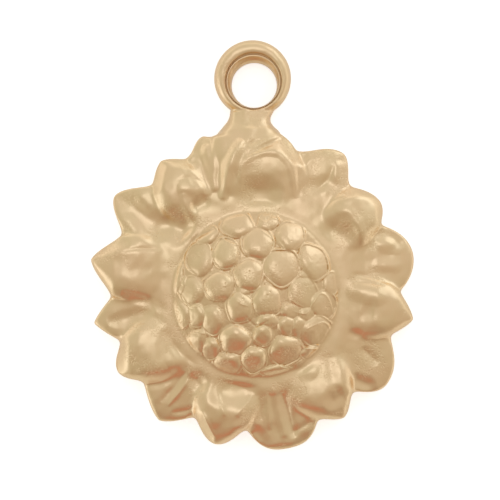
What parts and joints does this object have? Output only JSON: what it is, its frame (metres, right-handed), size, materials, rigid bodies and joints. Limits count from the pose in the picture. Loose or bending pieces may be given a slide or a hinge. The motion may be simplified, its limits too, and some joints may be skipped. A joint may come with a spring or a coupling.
{
  "type": "flower charm",
  "caption": "Cast sunflower charm with a domed seed head, a front and a back whorl of petals, and an integral eye for a jump ring.",
  "frame": {"origin": "middle of the outline in plan, at the flat rim of the back", "axes": "+Z from the back to the face, +Y from the flower to the eye, +X to the right as seen from the front"},
  "size_m": [0.0136, 0.0174, 0.0026],
  "materials": {
    "gold": "polished cast relief, pale champagne gold plating"
  },
  "bodies": {
    "root": {"flower_charm": "gold"}
  },
  "joints": []
}
